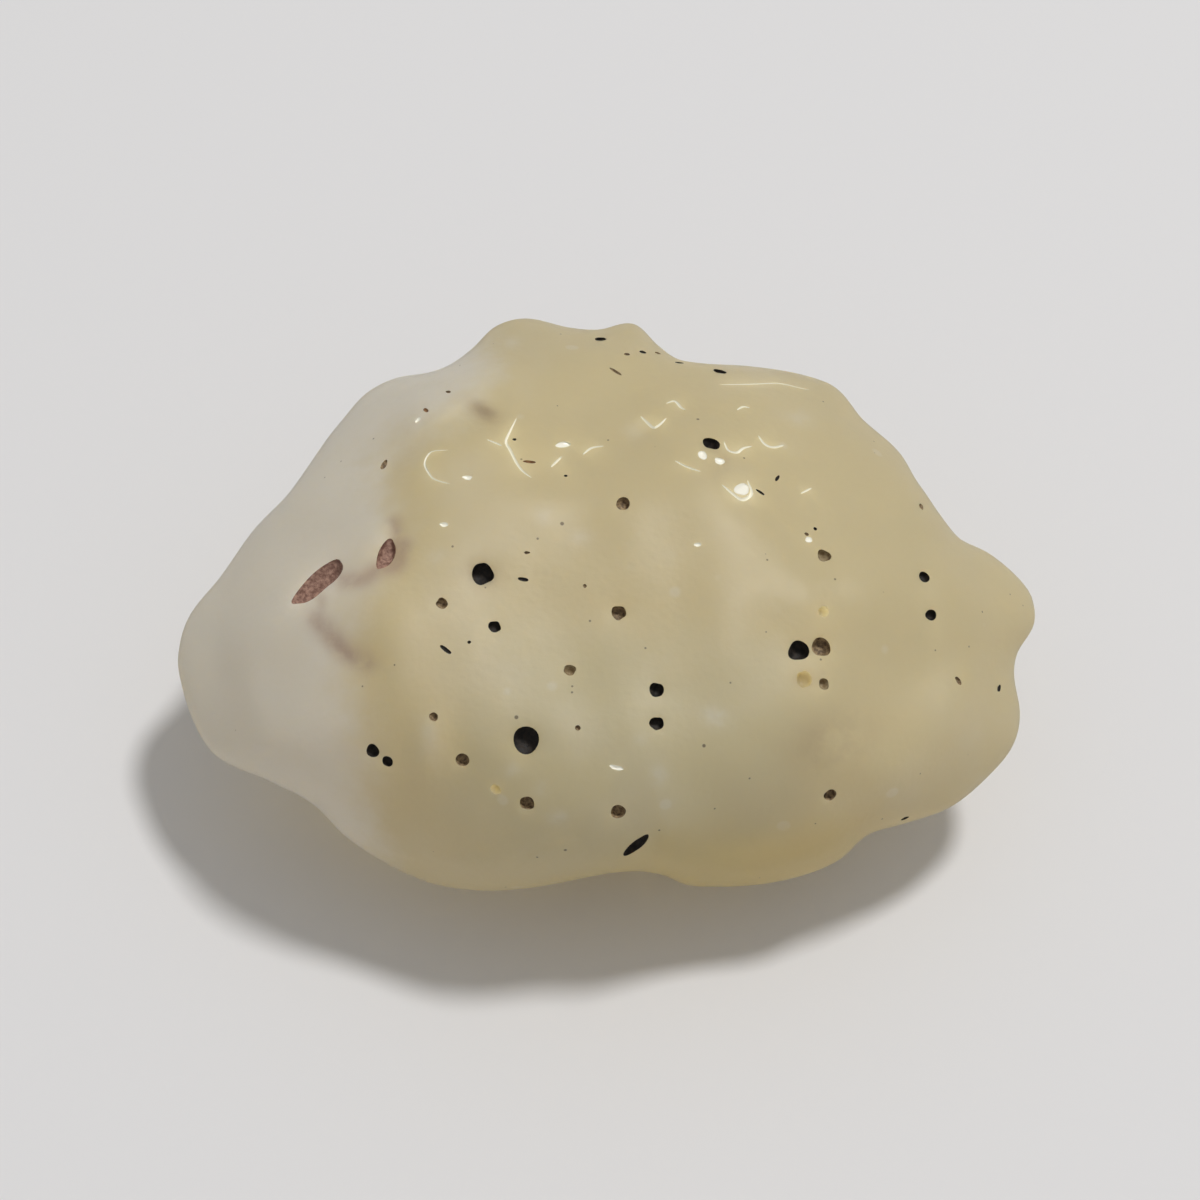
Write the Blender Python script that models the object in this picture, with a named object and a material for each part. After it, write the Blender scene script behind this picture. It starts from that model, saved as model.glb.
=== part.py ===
"""One nodule of Libyan desert glass, a wind-worn lump of pale yellow natural glass.

The lump is one solid. Its broad face leans back, and its outline is drawn square to that face,
in millimetres across (to the right) and up (up the face, towards the back). From every point of
the outline the glass swells forwards to the broad face and backwards to the underside. Worn
facets, scoops, valleys and a scarp shape both, and open bubbles pit them. The lump rests on a
small worn flat.
"""

import math
from functools import lru_cache

import bmesh
import bpy
import numpy as np
from mathutils import Matrix, Vector

# The real length in metres, and the same length as drawn below: all other sizes are drawn millimetres
LENGTH = 0.040
DRAWN_LENGTH = 40.0
UNIT = LENGTH / DRAWN_LENGTH

# The broad plane's lean back from standing, in degrees, and the worn flat's height over the lowest point
LEAN = 54.0
WORN_FLAT = 0.8

# The swell from the rim to each face, and the power that fills out its shoulders
FRONT_SWELL, BACK_SWELL, FULLNESS = 10.6, 10.4, 2.8

# The rim's rise towards the front for each millimetre up, and its wander as (rise, length across, length up,
# phase)
RIM_SLOPE = -0.31
RIM_WANDER = ((0.40, 5.5, math.inf, -2.4), (0.25, 2.9, -6.0, 0.0))

# The girth away from the rim: its share of the outline smoothed over a span of degrees, how far from the rim it
# is reached, and the power of the share by which the middle has one plain girth
TUCK_SHARE, TUCK_DEPTH, TUCK_FADE = 0.955, 3.0, 5
TUCK_SPAN, TUCK_SAMPLES = 24.0, 9

# The outline's middle, its plain oval's half sizes, and its corners, hollows and swells as (across, up) from
# the left tip clockwise
MIDDLE = (0.0, -0.6)
OVAL = (19.6, 13.0)
OUTLINE = (
    (-19.9, -2.6), (-19.5, -0.8), (-18.0, 1.2), (-16.5, 3.4), (-14.8, 5.2), (-12.6, 8.5),
    (-11.4, 9.9), (-10.1, 10.6), (-8.4, 10.9), (-7.4, 11.3), (-6.4, 12.1), (-5.3, 13.2),
    (-3.9, 13.6), (-1.9, 13.2), (-0.4, 13.1), (1.3, 13.4), (2.5, 12.3), (3.7, 11.4),
    (6.8, 11.3), (10.5, 10.5), (11.2, 10.0), (12.2, 8.7), (13.9, 7.1), (14.8, 5.5),
    (16.5, 3.1), (18.0, 2.3), (19.5, 0.9), (19.9, 0.1), (19.9, -1.0), (19.1, -2.3),
    (18.9, -3.4), (19.1, -5.2), (18.7, -6.6), (17.5, -8.0), (15.7, -9.4), (13.7, -10.1),
    (12.0, -10.6), (10.8, -11.7), (9.3, -12.4), (5.1, -13.0), (3.7, -12.9), (2.6, -12.4),
    (1.4, -12.1), (-0.1, -12.3), (-2.7, -12.9), (-7.6, -12.9), (-9.9, -12.0), (-11.9, -10.7),
    (-13.4, -9.2), (-15.5, -8.2), (-17.8, -7.2), (-18.8, -6.0), (-19.7, -3.8),
)

FRONT, BACK = 1.0, -1.0

# Worn facets, as (across, up, depth): each is a shallow dish that shaves that depth off the swell there
LEAST_SWELL = 0.3
FACET_DISH = 0.010
FRONT_BLEND, BACK_BLEND = 1.1, 0.5
FRONT_FACETS = (
    (-12.0, 5.5, 1.2),
    (-14.5, -3.5, 0.9),
    (-1.0, 9.0, 0.9),
    (9.0, 7.0, 1.1),
    (14.0, -2.0, 0.8),
    (6.8, -10.7, 0.9),
    (-8.0, -9.8, 0.8),
    (1.5, -1.0, 0.5),
)
BACK_FACETS = (
    (-10.5, 3.0, 1.3),
    (1.0, 7.5, 1.2),
    (12.0, 3.5, 1.2),
    (-13.0, -6.0, 1.6),
    (11.5, -7.5, 1.0),
    (1.0, -5.5, 0.5),
    (-5.5, -11.4, 1.8),
    (5.0, -11.6, 2.0),
    (16.8, -4.2, 2.0),
    (-17.2, -2.0, 2.0),
    (-13.5, 5.2, 2.0),
    (-3.0, 11.8, 2.0),
    (9.5, 9.4, 2.0),
    (16.6, 1.2, 1.6),
)

# Places below marked as seen are where the eye, EYE in front of the broad plane, sees them against that plane
EYE = 156.0

# Scoops and lumps, as (across, up, half length, half width, turn in degrees, depth), with a lump's depth
# negative. Those of the front are as seen.
FRONT_SCOOPS = (
    (-6.0, 8.9, 2.0, 1.0, 35, 0.35),
    (-9.0, 4.6, 1.4, 2.4, 10, 0.25),
    (16.9, -2.9, 2.4, 1.2, 15, 0.35),
    (-8.3, -6.6, 0.8, 2.0, -15, -0.30),
    (3.0, 4.6, 6.0, 3.4, 0, -0.25),
    (10.5, -7.0, 3.0, 1.4, 10, 0.20),
)
BACK_SCOOPS = (
    (-6.0, 2.0, 3.0, 2.0, 25, 0.50),
    (6.5, 5.5, 2.6, 1.8, -30, 0.45),
    (11.5, -2.5, 2.2, 3.2, 10, 0.45),
    (-13.5, -1.0, 1.8, 2.6, 0, 0.40),
    (-3.0, 9.5, 2.6, 1.4, -15, 0.35),
)

# Valleys and creases of the front, as (half width, depth, points as seen)
VALLEYS = (
    (0.55, 0.40, ((-12.5, 1.1), (-11.2, 1.6), (-10.2, 2.0), (-9.8, 3.3))),
    (0.80, 0.20, ((-13.4, -0.4), (-12.9, -1.7), (-12.0, -2.5), (-10.9, -3.0))),
    (0.35, 0.22, ((-4.7, -12.8), (-3.8, -11.9), (-2.9, -11.3), (-1.4, -10.8))),
)

# The scarp: the flank on the right of this line as seen, walked downwards, stands higher
SCARP_RISE, SCARP_REACH, SCARP_SOFTNESS = 0.40, 2.4, 0.14
SCARP = ((-5.1, 12.4), (-5.4, 10.9), (-6.0, 9.7), (-7.1, 8.9), (-8.7, 8.0), (-9.9, 7.2), (-10.4, 6.4))

# Gentle wind-worn waves all over: how many, the longest and its rise, and the shortest as a share of it
WAVES, WAVE_LENGTH, WAVE_RISE, WAVE_SHORTEST, WAVE_SEED = 24, 8.0, 0.045, 0.35, 7

# Open bubbles of the front, as (across, up, radius), as seen
BUBBLES = (
    (-3.7, -6.5, 0.60),
    (9.0, -2.3, 0.48),
    (10.1, -2.1, 0.40),
    (-5.8, 1.3, 0.50),
    (4.9, 7.4, 0.40),
    (-10.9, -7.0, 0.30),
    (-10.2, -7.5, 0.25),
    (-5.2, -1.2, 0.27),
    (-7.7, -0.1, 0.25),
    (0.6, -0.5, 0.33),
    (2.4, -4.1, 0.33),
    (2.4, -5.7, 0.33),
    (0.8, 4.6, 0.32),
    (-6.7, -7.4, 0.30),
    (-3.7, -9.4, 0.33),
    (0.6, -9.8, 0.33),
    (10.5, -9.0, 0.30),
    (14.9, 1.2, 0.27),
    (15.2, -0.6, 0.27),
    (-0.3, 12.3, 0.28),
    (5.3, 10.8, 0.30),
    (9.3, -3.6, 0.37),
    (10.2, 2.2, 0.33),
)

# Long open hollows of the front: a seed shape, a slit and a wedge, as
# (across, up, half length, half width, depth, turn in degrees), as seen
HOLLOWS = (
    (-13.5, 0.9, 1.50, 0.72, 0.80, 38),
    (1.4, -11.4, 0.92, 0.24, 0.45, 36),
    (-10.3, 2.2, 0.86, 0.36, 0.45, 68),
)

# Open bubbles of the underside and the back, thrown at random: how many, their radii, the share of the outline
# that they reach, how far they stay from the worn flat and from each other
BACK_BUBBLES, BACK_RADII, BACK_REACH, BUBBLE_SEED = 14, (0.25, 0.55), 0.9, 11
CLEAR_OF_FLAT, BUBBLE_GAP = 1.2, 2.2

# How deep a bubble's centre lies, and how much wider than its mouth it is, as shares of the mouth's radius
SUNK, WIDER = 0.35, 1.07

# Splits of the ball that becomes the lump and of the balls that cut it, and how near to the fine lines of the
# relief the lump is split once more
BALL_SPLITS, BUBBLE_SPLITS = 5, 2
FINE_REACH = 1.1

# Steps of the look along the eye's line, the drawn distance over which a slope is measured, and the power
# of the share by which relief fades at the rim
EYE_STEPS, SLOPE_STEP, RIM_HOLD = 12, 0.1, 8


def closed_curve(angles, values, at):
    """The periodic cubic through the values at those angles, with each slope taken from its neighbours."""
    turn = 2 * math.pi
    order = np.argsort(np.mod(angles, turn))
    a = np.mod(angles, turn)[order]
    r = values[order]
    before, after = np.roll(a, 1), np.roll(a, -1)
    before[0] -= turn
    after[-1] += turn
    slope = (np.roll(r, -1) - np.roll(r, 1)) / (after - before)
    t = np.mod(at, turn)
    t = np.where(t < a[0], t + turn, t)
    left = np.clip(np.searchsorted(a, t, side="right") - 1, 0, len(a) - 1)
    right = (left + 1) % len(a)
    width = after[left] - a[left]
    s = (t - a[left]) / width
    return (
        (1 + 2 * s) * (1 - s) ** 2 * r[left]
        + s * (1 - s) ** 2 * width * slope[left]
        + s * s * (3 - 2 * s) * r[right]
        + s * s * (s - 1) * width * slope[right]
    )


def outline_radius(angle):
    """How far the outline lies from the middle in each direction."""
    points = np.array(OUTLINE) - MIDDLE
    return closed_curve(np.arctan2(points[:, 1], points[:, 0]), np.hypot(points[:, 0], points[:, 1]), angle)


def inner_radius(angle):
    """The outline's smoothed and shrunk radius: the lump's girth away from the rim."""
    turns = np.radians(np.linspace(-TUCK_SPAN, TUCK_SPAN, TUCK_SAMPLES))
    return TUCK_SHARE * np.mean([outline_radius(angle + turn) for turn in turns], axis=0)


def share_of_outline(x, v):
    """0 at the middle and 1 on the outline."""
    dx, dv = x - MIDDLE[0], v - MIDDLE[1]
    return np.hypot(dx, dv) / outline_radius(np.arctan2(dv, dx))


def swell(x, v, side):
    """The smooth thickness from the rim to the face on that side.

    It is the square root of 1 less a power of the share. The share is measured against the outline
    at the rim and against the plain oval in the middle, so the outline's corners don't reach inwards.
    """
    dx, dv = x - MIDDLE[0], v - MIDDLE[1]
    near_rim = np.minimum(share_of_outline(x, v), 1) ** 2
    oval_share = np.hypot(dx / OVAL[0], dv / OVAL[1])
    share = share_of_outline(x, v) * near_rim + oval_share * (1 - near_rim)
    return np.where(side > 0, FRONT_SWELL, BACK_SWELL) * np.sqrt(1 - np.clip(share, 0, 1) ** FULLNESS)


def softer_minimum(a, b, blend):
    """The lower of two heights, rounded where they meet over the blend."""
    near = np.clip(0.5 + 0.5 * (b - a) / blend, 0, 1)
    return b + (a - b) * near - blend * near * (1 - near)


def shaved(x, v, side, facets, blend):
    """The swell, with each facet laid along it at the facet's middle and then sunk by its depth."""
    rise = swell(x, v, side)
    step = SLOPE_STEP
    for fx, fv, depth in facets:
        here = swell(fx, fv, side)
        across = (swell(fx + step, fv, side) - swell(fx - step, fv, side)) / (2 * step)
        up = (swell(fx, fv + step, side) - swell(fx, fv - step, side)) / (2 * step)
        dish = FACET_DISH * ((x - fx) ** 2 + (v - fv) ** 2)
        plane = here - depth + across * (x - fx) + up * (v - fv) + dish
        held = -softer_minimum(-plane, -LEAST_SWELL * rise, blend)
        rise = softer_minimum(rise, held, blend)
    return rise


def scoop(x, v, fx, fv, half_long, half_wide, turn):
    """1 in the middle of a scoop, falling away as a bell over its half length and half width."""
    c, s = math.cos(math.radians(turn)), math.sin(math.radians(turn))
    along = ((x - fx) * c + (v - fv) * s) / half_long
    aside = ((v - fv) * c - (x - fx) * s) / half_wide
    return np.exp(-(along**2 + aside**2))


def along_path(x, v, points):
    """(distance to the path, distance to the right of its nearest run when walking along it)."""
    nearest = np.full(np.shape(x), np.inf)
    right = np.zeros(np.shape(x))
    for (ax, av), (bx, bv) in zip(points, points[1:]):
        dx, dv = bx - ax, bv - av
        length = math.hypot(dx, dv)
        t = np.clip(((x - ax) * dx + (v - av) * dv) / length**2, 0, 1)
        gap = np.hypot(x - ax - t * dx, v - av - t * dv)
        closer = gap < nearest
        right = np.where(closer, ((x - ax) * dv - (v - av) * dx) / length, right)
        nearest = np.where(closer, gap, nearest)
    return nearest, right


def scarp(x, v):
    """A one-sided step: full height beside the line on its high side, fading with the distance."""
    gap, right = along_path(x, v, [seen(a, b) for a, b in SCARP])
    step = 1 / (1 + np.exp(-right / SCARP_SOFTNESS))
    return SCARP_RISE * step * np.exp(-((gap / SCARP_REACH) ** 2))


def waves(x, v, w):
    """A sum of sine waves in seeded directions, longer ones rising more."""
    dice = np.random.RandomState(WAVE_SEED)
    total = np.zeros(np.shape(x))
    for _ in range(WAVES):
        way = dice.normal(size=3)
        way /= np.linalg.norm(way)
        length = WAVE_LENGTH * dice.uniform(WAVE_SHORTEST, 1.0)
        phase = dice.uniform(0, 2 * math.pi)
        rise = WAVE_RISE * length / WAVE_LENGTH
        total += rise * np.sin(2 * math.pi * (x * way[0] + v * way[1] + w * way[2]) / length + phase)
    return total


def rim_depth(x, v):
    """How far forward the rim lies: the upper rim lies back and the lower one forward, and it wanders."""
    wander = sum(rise * np.sin(x / across + v / up + phase) for rise, across, up, phase in RIM_WANDER)
    return RIM_SLOPE * v + wander


def shaved_depth(x, v, side):
    """How far forward the shaved swell lies over each point of the broad plane, on that side."""
    front = shaved(x, v, side, FRONT_FACETS, FRONT_BLEND)
    back = shaved(x, v, side, BACK_FACETS, BACK_BLEND)
    return rim_depth(x, v) + side * np.where(side > 0, front, back)


@lru_cache(maxsize=None)
def seen(a, b):
    """(across, up), before the tuck, of the front's point that the eye sees against (a, b)."""
    x, v = a, b
    for _ in range(EYE_STEPS):
        tucked_x, tucked_v, w = (float(part) for part in tucked(x, v, shaved_depth(x, v, FRONT)))
        nearer = 1 - w / EYE
        x += a * nearer - tucked_x
        v += b * nearer - tucked_v
    return x, v


def relief(x, v, side):
    """What stands above the shaved swell on the front, and on the back."""
    front = scarp(x, v)
    for a, b, *size, depth in FRONT_SCOOPS:
        front -= depth * scoop(x, v, *seen(a, b), *size)
    for half_width, depth, points in VALLEYS:
        gap, _ = along_path(x, v, [seen(a, b) for a, b in points])
        front -= depth * np.exp(-((gap / half_width) ** 2))
    back = -sum(depth * scoop(x, v, *size) for *size, depth in BACK_SCOOPS)
    return np.where(side > 0, front, back)


def surface_depth(x, v, side):
    """How far forward the finished surface lies over each point of the broad plane, on that side."""
    bare = shaved_depth(x, v, side)
    held = 1 - np.minimum(share_of_outline(x, v), 1) ** RIM_HOLD
    return bare + side * held * (relief(x, v, side) + waves(x, v, bare))


def tucked(x, v, w):
    """(across, up, forward) with the outline's corners held at the rim and tucked in away from it."""
    angle = np.arctan2(v - MIDDLE[1], x - MIDDLE[0])
    girth = inner_radius(angle) / outline_radius(angle)
    inner = TUCK_SHARE + (girth - TUCK_SHARE) * np.minimum(share_of_outline(x, v), 1) ** TUCK_FADE
    at_rim = np.exp(-(((w - rim_depth(x, v)) / TUCK_DEPTH) ** 2))
    kept = inner + (1 - inner) * at_rim
    return MIDDLE[0] + (x - MIDDLE[0]) * kept, MIDDLE[1] + (v - MIDDLE[1]) * kept, w


def surface_point(x, v, side):
    """(across, up, forward) of the finished surface over each point of the outline's plane, on that side."""
    return tucked(x, v, surface_depth(x, v, side))


def to_world(x, v, w):
    """From across, up and forward to the standing lump's X, Y and Z: the broad plane leans back."""
    c, s = math.cos(math.radians(LEAN)), math.sin(math.radians(LEAN))
    return np.stack([x, v * s - w * c, v * c + w * s], axis=-1) * UNIT


def on_ball(directions):
    """(across, up, side) of each direction of a round ball: its flat part is a share of the outline."""
    share = np.hypot(directions[:, 0], directions[:, 1])
    angle = np.arctan2(directions[:, 1], directions[:, 0])
    reach = share * outline_radius(angle)
    side = np.where(directions[:, 2] >= 0, FRONT, BACK)
    return MIDDLE[0] + reach * np.cos(angle), MIDDLE[1] + reach * np.sin(angle), side


def lump_points(directions):
    """The lump's surface points, in metres, for the directions of a round ball."""
    return to_world(*surface_point(*on_ball(directions)))


def directions_of(shape):
    """The unit directions of a ball's vertices, as an array."""
    raw = np.array([vertex.co[:] for vertex in shape.verts])
    return raw / np.linalg.norm(raw, axis=1, keepdims=True)


def split_fine_relief(shape):
    """Halves the ball's edges near the valleys and the scarp, whose slopes are short."""
    x, v, side = on_ball(directions_of(shape))
    lines = [SCARP] + [points for _, _, points in VALLEYS]
    gap = np.min([along_path(x, v, [seen(a, b) for a, b in points])[0] for points in lines], axis=0)
    near = (gap < FINE_REACH) & (side > 0)
    shape.verts.index_update()
    edges = [edge for edge in shape.edges if all(near[vertex.index] for vertex in edge.verts)]
    bmesh.ops.subdivide_edges(shape, edges=edges, cuts=1)
    bmesh.ops.triangulate(shape, faces=shape.faces[:])


def seat_on_surface(x, v, side, turn=0.0):
    """The frame at a point of the surface: its origin there, Z out of the glass, X along it at that turn."""
    c, s = math.cos(math.radians(turn)) * SLOPE_STEP, math.sin(math.radians(turn)) * SLOPE_STEP

    def at(dx, dv):
        return Vector(to_world(*(float(part) for part in surface_point(x + dx, v + dv, side))))

    along = (at(c, s) - at(-c, -s)).normalized()
    aside = at(-s, c) - at(s, -c)
    out = along.cross(aside).normalized() * side
    seat = Matrix((along, out.cross(along), out)).transposed().to_4x4()
    seat.translation = at(0, 0)
    return seat


def add_ball(shape, seat, half_long, half_wide, half_deep, sunk=0.0):
    """Adds a ball of those half sizes to the mesh, with its middle sunk that far under the surface."""
    sizes = Matrix.Diagonal((half_long * UNIT, half_wide * UNIT, half_deep * UNIT, 1))
    place = seat @ Matrix.Translation((0, 0, -sunk * UNIT)) @ sizes
    bmesh.ops.create_icosphere(shape, subdivisions=BUBBLE_SPLITS, radius=1.0, matrix=place)


def add_bubble(shape, x, v, side, radius):
    """Adds the ball that leaves a bubble's mouth of that radius, wider inside than at its mouth."""
    size = radius * WIDER
    add_ball(shape, seat_on_surface(x, v, side), size, size, size, sunk=SUNK * radius)


def back_bubbles(floor):
    """(across, up, radius) of the hidden side's bubbles, apart from each other and off the worn flat."""
    dice = np.random.RandomState(BUBBLE_SEED)
    kept = []
    while len(kept) < BACK_BUBBLES:
        angle, share = dice.uniform(0, 2 * math.pi), BACK_REACH * math.sqrt(dice.uniform())
        radius = dice.uniform(*BACK_RADII)
        reach = share * float(outline_radius(angle))
        x, v = MIDDLE[0] + reach * math.cos(angle), MIDDLE[1] + reach * math.sin(angle)
        height = seat_on_surface(x, v, BACK).translation.z
        apart = all(math.hypot(x - kept_x, v - kept_v) > BUBBLE_GAP for kept_x, kept_v, _ in kept)
        if apart and height > floor + CLEAR_OF_FLAT * UNIT:
            kept.append((x, v, radius))
    return kept


def lump():
    """(the lump as a closed bmesh with its worn flat, the height of the flat)."""
    shape = bmesh.new()
    bmesh.ops.create_icosphere(shape, subdivisions=BALL_SPLITS, radius=1.0)
    split_fine_relief(shape)
    for vertex, place in zip(shape.verts, lump_points(directions_of(shape))):
        vertex.co = place
    floor = min(vertex.co.z for vertex in shape.verts) + WORN_FLAT * UNIT
    everything = shape.verts[:] + shape.edges[:] + shape.faces[:]
    cut = bmesh.ops.bisect_plane(
        shape, geom=everything, plane_co=(0, 0, floor), plane_no=(0, 0, -1), clear_outer=True)
    rim = [part for part in cut["geom_cut"] if isinstance(part, bmesh.types.BMEdge)]
    bmesh.ops.holes_fill(shape, edges=rim)
    bmesh.ops.recalc_face_normals(shape, faces=shape.faces[:])
    return shape, floor


def pits(floor):
    """All the open bubbles and hollows as one bmesh of separate closed balls."""
    shape = bmesh.new()
    for a, b, radius in BUBBLES:
        add_bubble(shape, *seen(a, b), FRONT, radius)
    for a, b, half_long, half_wide, depth, turn in HOLLOWS:
        add_ball(shape, seat_on_surface(*seen(a, b), FRONT, turn), half_long, half_wide, depth)
    for x, v, radius in back_bubbles(floor):
        add_bubble(shape, x, v, BACK, radius)
    return shape


def glass_material():
    """Frosted pale yellow-green glass."""
    material = bpy.data.materials.new("desert_glass")
    material.use_nodes = True
    shader = material.node_tree.nodes["Principled BSDF"]
    shader.inputs["Base Color"].default_value = (0.50, 0.42, 0.25, 1)
    shader.inputs["Roughness"].default_value = 0.5
    shader.inputs["Metallic"].default_value = 0.0
    shader.inputs["IOR"].default_value = 1.46
    return material


def new_object(name, shape, collection):
    """A named object from a bmesh, in that collection."""
    mesh = bpy.data.meshes.new(name)
    shape.to_mesh(mesh)
    shape.free()
    thing = bpy.data.objects.new(name, mesh)
    collection.objects.link(thing)
    return thing


def new_collection(name):
    """A new collection in the scene."""
    collection = bpy.data.collections.new(name)
    bpy.context.scene.collection.children.link(collection)
    return collection


def main():
    for thing in list(bpy.data.objects):
        bpy.data.objects.remove(thing, do_unlink=True)
    parts, cutters = new_collection("libyan_desert_glass"), new_collection("cutters")
    shape, floor = lump()
    glass = new_object("glass", shape, parts)
    glass.data.materials.append(glass_material())
    glass.data.shade_smooth()
    balls = new_object("pit_balls", pits(floor), cutters)
    balls.hide_render = True
    balls.display_type = "WIRE"
    cut = glass.modifiers.new("pits", "BOOLEAN")
    cut.operation = "DIFFERENCE"
    cut.solver = "EXACT"
    cut.object = balls
    corners = np.array([vertex.co[:] for vertex in glass.data.vertices])
    low, high = corners.min(axis=0), corners.max(axis=0)
    for thing in (glass, balls):
        thing.location = (-(low[0] + high[0]) / 2, -(low[1] + high[1]) / 2, -low[2])


if __name__ == "__main__":
    main()
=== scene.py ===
"""The looks of one nodule of Libyan desert glass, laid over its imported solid.

The fine surface is the solid's own form, worked out again on a much finer ball, with worn lips round the
open bubbles, small chips and fine pits. The bubbles, hollows and chips are cut out of it, each with its own
lining. All sizes below are drawn millimetres, as in the solid's own source.
"""

import math
from functools import lru_cache

import bmesh
import bpy
import numpy as np
from bpy.props import FloatProperty, FloatVectorProperty, IntProperty, PointerProperty
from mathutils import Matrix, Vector


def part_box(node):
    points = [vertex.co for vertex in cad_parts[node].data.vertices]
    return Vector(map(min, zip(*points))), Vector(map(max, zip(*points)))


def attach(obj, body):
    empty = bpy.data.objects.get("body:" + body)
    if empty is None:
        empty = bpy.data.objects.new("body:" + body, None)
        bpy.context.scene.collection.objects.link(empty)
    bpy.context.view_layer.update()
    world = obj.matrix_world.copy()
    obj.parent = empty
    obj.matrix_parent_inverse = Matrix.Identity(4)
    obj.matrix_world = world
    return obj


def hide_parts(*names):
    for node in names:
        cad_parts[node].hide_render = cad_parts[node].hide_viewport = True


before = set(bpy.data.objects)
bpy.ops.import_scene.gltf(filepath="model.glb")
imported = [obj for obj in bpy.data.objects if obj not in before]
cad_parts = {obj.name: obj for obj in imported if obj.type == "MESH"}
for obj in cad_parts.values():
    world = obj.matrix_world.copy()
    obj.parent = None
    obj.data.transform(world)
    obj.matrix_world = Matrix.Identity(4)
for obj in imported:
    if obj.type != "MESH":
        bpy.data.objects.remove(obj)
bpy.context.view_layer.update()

bl_info = {
    "name": "Desert glass nodule",
    "version": (1, 0, 0),
    "blender": (4, 5, 0),
    "location": "3D View > Sidebar > Nodule",
    "description": "Builds a frosted nodule of natural desert glass on a plain stage",
    "category": "Object",
}

NODE_LOW, NODE_HIGH = (np.array(corner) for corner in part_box("glass"))
UNIT = 0.001
FRONT, BACK = 1.0, -1.0

# The solid's form. The broad plane's lean back from standing is in degrees.
LEAN = 54.0
FRONT_SWELL, BACK_SWELL, FULLNESS = 10.6, 10.4, 2.8
RIM_SLOPE = -0.31
RIM_WANDER = ((0.40, 5.5, math.inf, -2.4), (0.25, 2.9, -6.0, 0.0))
TUCK_SHARE, TUCK_DEPTH, TUCK_FADE = 0.955, 3.0, 5
TUCK_SPAN, TUCK_SAMPLES = 24.0, 9
MIDDLE = (0.0, -0.6)
OVAL = (19.6, 13.0)
OUTLINE = (
    (-19.9, -2.6), (-19.5, -0.8), (-18.0, 1.2), (-16.5, 3.4), (-14.8, 5.2), (-12.6, 8.5),
    (-11.4, 9.9), (-10.1, 10.6), (-8.4, 10.9), (-7.4, 11.3), (-6.4, 12.1), (-5.3, 13.2),
    (-3.9, 13.6), (-1.9, 13.2), (-0.4, 13.1), (1.3, 13.4), (2.5, 12.3), (3.7, 11.4),
    (6.8, 11.3), (10.5, 10.5), (11.2, 10.0), (12.2, 8.7), (13.9, 7.1), (14.8, 5.5),
    (16.5, 3.1), (18.0, 2.3), (19.5, 0.9), (19.9, 0.1), (19.9, -1.0), (19.1, -2.3),
    (18.9, -3.4), (19.1, -5.2), (18.7, -6.6), (17.5, -8.0), (15.7, -9.4), (13.7, -10.1),
    (12.0, -10.6), (10.8, -11.7), (9.3, -12.4), (5.1, -13.0), (3.7, -12.9), (2.6, -12.4),
    (1.4, -12.1), (-0.1, -12.3), (-2.7, -12.9), (-7.6, -12.9), (-9.9, -12.0), (-11.9, -10.7),
    (-13.4, -9.2), (-15.5, -8.2), (-17.8, -7.2), (-18.8, -6.0), (-19.7, -3.8),
)

# Worn facets, as (across, up, depth)
LEAST_SWELL = 0.3
FACET_DISH = 0.010
FRONT_BLEND, BACK_BLEND = 1.1, 0.5
FRONT_FACETS = (
    (-12.0, 5.5, 1.2),
    (-14.5, -3.5, 0.9),
    (-1.0, 9.0, 0.9),
    (9.0, 7.0, 1.1),
    (14.0, -2.0, 0.8),
    (6.8, -10.7, 0.9),
    (-8.0, -9.8, 0.8),
    (1.5, -1.0, 0.5),
)
BACK_FACETS = (
    (-10.5, 3.0, 1.3),
    (1.0, 7.5, 1.2),
    (12.0, 3.5, 1.2),
    (-13.0, -6.0, 1.6),
    (11.5, -7.5, 1.0),
    (1.0, -5.5, 0.5),
    (-5.5, -11.4, 1.8),
    (5.0, -11.6, 2.0),
    (16.8, -4.2, 2.0),
    (-17.2, -2.0, 2.0),
    (-13.5, 5.2, 2.0),
    (-3.0, 11.8, 2.0),
    (9.5, 9.4, 2.0),
    (16.6, 1.2, 1.6),
)

# Places below marked as seen are where the eye sees them against the broad plane, from EYE in front of it
EYE = 156.0

# Scoops and lumps, as (across, up, half length, half width, turn in degrees, depth), with a lump's depth
# negative. Those of the front are as seen.
FRONT_SCOOPS = (
    (-6.0, 8.9, 2.0, 1.0, 35, 0.35),
    (-9.0, 4.6, 1.4, 2.4, 10, 0.25),
    (16.9, -2.9, 2.4, 1.2, 15, 0.35),
    (-8.3, -6.6, 0.8, 2.0, -15, -0.30),
    (3.0, 4.6, 6.0, 3.4, 0, -0.25),
    (10.5, -7.0, 3.0, 1.4, 10, 0.20),
)
BACK_SCOOPS = (
    (-6.0, 2.0, 3.0, 2.0, 25, 0.50),
    (6.5, 5.5, 2.6, 1.8, -30, 0.45),
    (11.5, -2.5, 2.2, 3.2, 10, 0.45),
    (-13.5, -1.0, 1.8, 2.6, 0, 0.40),
    (-3.0, 9.5, 2.6, 1.4, -15, 0.35),
)

# Valleys and creases of the front, as (half width, depth, points as seen)
VALLEYS = (
    (0.55, 0.40, ((-12.5, 1.1), (-11.2, 1.6), (-10.2, 2.0), (-9.8, 3.3))),
    (0.80, 0.20, ((-13.4, -0.4), (-12.9, -1.7), (-12.0, -2.5), (-10.9, -3.0))),
    (0.35, 0.22, ((-4.7, -12.8), (-3.8, -11.9), (-2.9, -11.3), (-1.4, -10.8))),
)

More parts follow.
